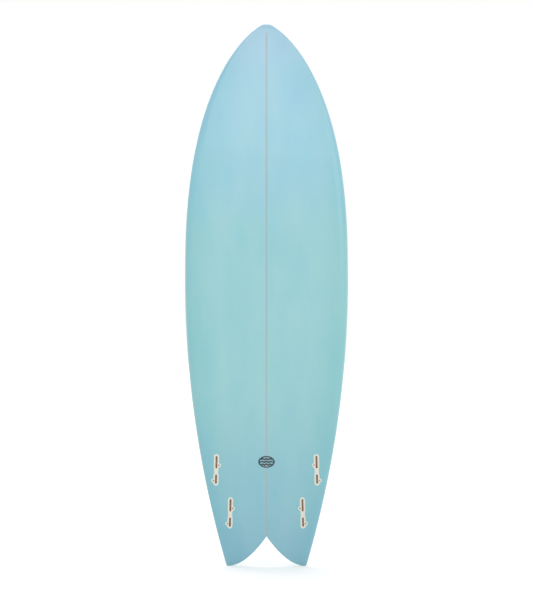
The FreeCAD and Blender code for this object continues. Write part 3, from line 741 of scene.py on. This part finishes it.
milky_resin, tree = new_material("sanded_thickened_resin")
place = add(tree, "ShaderNodeTexCoord").outputs["Object"]
filler = add(tree, "ShaderNodeTexNoise", {"Vector": place, "Scale": 1 / (3 * MM), "Detail": 4})
colour = add(tree, "ShaderNodeMix", {"Factor": filler.outputs["Fac"], "A": linear("#b5d6da"),
                                     "B": linear("#a3c9cf")}, data_type="RGBA")
finish_surface(tree, Base_Color=colour.outputs["Result"], Roughness=0.3, IOR=1.55)
for name in BOX_NAMES:
    bed = joined(box_body(name, BED), "DIFFERENCE", box_body(name, 0, ABOVE))
    eased(bed, 0.05)
    seated(bed, box_frame(name), milky_resin, name + "_bed")


# ---- Grub screws ---------------------------------------------------------------------------
# Two M5 grub screws a box, in stainless steel with a 2.5 mm hexagon socket. They lean in over
# the bay to clamp the fin's tab. The thread is 0.8 mm a turn, drawn as plain rings.

PITCH, TURNS = 0.8, 8             # of the thread
KEY_RADIUS = 1.443                # to the corners of the hexagon socket


def turned(profile, steps=48):
    """A piece turned about Z from a profile of radii and heights that starts and ends on the axis."""
    bm = bmesh.new()
    points = [bm.verts.new(Vector((radius, 0, height)) * MM) for radius, height in profile]
    for start, end in zip(points, points[1:]):
        bm.edges.new((start, end))
    bmesh.ops.spin(bm, geom=bm.verts[:] + bm.edges[:], cent=(0, 0, 0), axis=(0, 0, 1), angle=2 * math.pi,
                   steps=steps, use_merge=True)
    bmesh.ops.remove_doubles(bm, verts=bm.verts, dist=0.002 * MM)
    bmesh.ops.recalc_face_normals(bm, faces=bm.faces)
    return new_piece("turned", bm, None)


stainless, tree = new_material("turned_stainless_steel")
place = add(tree, "ShaderNodeTexCoord").outputs["Object"]
scuffs = add(tree, "ShaderNodeTexNoise", {"Vector": place, "Scale": 1 / (1 * MM), "Detail": 4})
rough = add(tree, "ShaderNodeMapRange", {"Value": scuffs.outputs["Fac"], "To Min": 0.22, "To Max": 0.42})
finish_surface(tree, Base_Color=linear("#b3aca4"), Metallic=1.0, Roughness=rough.outputs["Result"])
for name in BOX_NAMES:
    for end in ("front", "rear"):
        foot, head = -SCREW_SINK - SCREW_LENGTH, -SCREW_SINK
        profile = [(0, foot + 0.4), (1.2, foot), (1.9, foot), (2.2, foot + 0.4)]
        for turn in range(TURNS):
            height = foot + 0.5 + PITCH * turn
            profile += [(2.48, height + 0.1), (2.48, height + 0.25),
                        (2.1, height + 0.5), (2.1, height + 0.6)]
        profile += [(2.4, head - 0.4), (2.0, head), (0, head)]
        screw = turned(profile)
        bm = bmesh.new()
        bmesh.ops.create_cone(bm, cap_ends=True, segments=6, radius1=KEY_RADIUS * MM,
                              radius2=KEY_RADIUS * MM, depth=6 * MM,
                              matrix=Matrix.Translation((0, 0, head * MM)))
        joined(screw, "DIFFERENCE", new_piece("hexagon_key", bm, None))
        eased(screw, 0.08)
        node = f"{name}_screw_{end}"
        seated(screw, box_frame(name) @ screw_frame(name, end), stainless, node, node)


# ---- Leash plug ----------------------------------------------------------------------------
# A round nylon cup let into the deck's starboard lobe, with a stainless pin across it for the
# leash string. It is glued in a milky resin bed and sanded level with the deck.

cup_foot = -PLUG_CUP - PLUG_FLOOR
cup = turned([(0, cup_foot), (PLUG_BARREL, cup_foot), (PLUG_BARREL, -PLUG_FLANGE),
              (PLUG_RIM, -PLUG_FLANGE), (PLUG_RIM, 0), (PLUG_MOUTH + 0.6, 0), (PLUG_MOUTH, -0.8),
              (PLUG_MOUTH, -PLUG_CUP + 1.5), (PLUG_MOUTH - 1.5, -PLUG_CUP), (0, -PLUG_CUP)], 64)
eased(cup, 0.3)
# the nylon's painted shade darkens the inside of the cup with depth
seated(cup, plug_frame(), moulded_nylon, "leash_plug_cup")

pin_ends = PIN_HALF - 0.3
pin = turned([(0, -PIN_HALF), (PIN_RADIUS - 0.3, -PIN_HALF), (PIN_RADIUS, -pin_ends),
              (PIN_RADIUS, pin_ends), (PIN_RADIUS - 0.3, PIN_HALF), (0, PIN_HALF)], 32)
pin.data.transform(Matrix.Translation((0, 0, -PIN_SINK * MM)) @ Matrix.Rotation(math.pi / 2, 4, "Y"))
eased(pin, 0.05)
seated(pin, plug_frame(), stainless, "leash_plug_pin")

bed = turned([(0, cup_foot - BED), (PLUG_BARREL + BED, cup_foot - BED),
              (PLUG_BARREL + BED, -PLUG_FLANGE - BED), (PLUG_RIM + BED, -PLUG_FLANGE - BED),
              (PLUG_RIM + BED, 0), (PLUG_RIM, 0), (PLUG_RIM, -PLUG_FLANGE),
              (PLUG_BARREL, -PLUG_FLANGE), (PLUG_BARREL, cup_foot), (0, cup_foot)], 64)
eased(bed, 0.05)
seated(bed, plug_frame(), milky_resin, "leash_plug_bed")


# ---- Studio --------------------------------------------------------------------------------
# A seamless pale floor, an even white surround and one broad soft light on each side.

bm = bmesh.new()
bmesh.ops.create_circle(bm, cap_ends=True, segments=96, radius=30,
                        matrix=Matrix.Translation((0, 0, -0.4 * MM)))
floor = new_piece("floor", bm, None)
white_sweep, tree = new_material("matt_white_paper_sweep")
place = add(tree, "ShaderNodeTexCoord").outputs["Object"]
fibres = add(tree, "ShaderNodeTexNoise", {"Vector": place, "Scale": 1 / (60 * MM), "Detail": 3})
colour = add(tree, "ShaderNodeMix", {"Factor": fibres.outputs["Fac"], "A": linear("#f6f6f6"),
                                     "B": linear("#f2f2f2")}, data_type="RGBA")
finish_surface(tree, Base_Color=colour.outputs["Result"], Roughness=0.95, Specular_IOR_Level=0.1)
paint(floor, white_sweep)

world = bpy.data.worlds.new("white_surround")
bpy.context.scene.world = world
world.use_nodes = True
world.node_tree.nodes["Background"].inputs["Color"].default_value = (1, 1, 1, 1)
world.node_tree.nodes["Background"].inputs["Strength"].default_value = 1.0

for name, spot, power in (("bottom_side_sky", (-2.0, 4.0, 3.2), 0.75),
                          ("deck_side_sky", (1.2, -4.0, 3.2), 0.95)):
    light = bpy.data.lights.new(name, "SUN")
    light.angle, light.energy = math.radians(70), power
    lamp = bpy.data.objects.new(name, light)
    lamp.rotation_euler = (-Vector(spot)).to_track_quat("-Z", "Y").to_euler()
    bpy.context.scene.collection.objects.link(lamp)

camera = bpy.data.cameras.new("camera")
camera.lens = 181
viewer = bpy.data.objects.new("camera", camera)
viewer.location = (0, 10, 0.911)
viewer.rotation_euler = (math.pi / 2, 0, math.pi)
bpy.context.scene.collection.objects.link(viewer)
bpy.context.scene.camera = viewer
bpy.context.scene.view_settings.view_transform = "Standard"
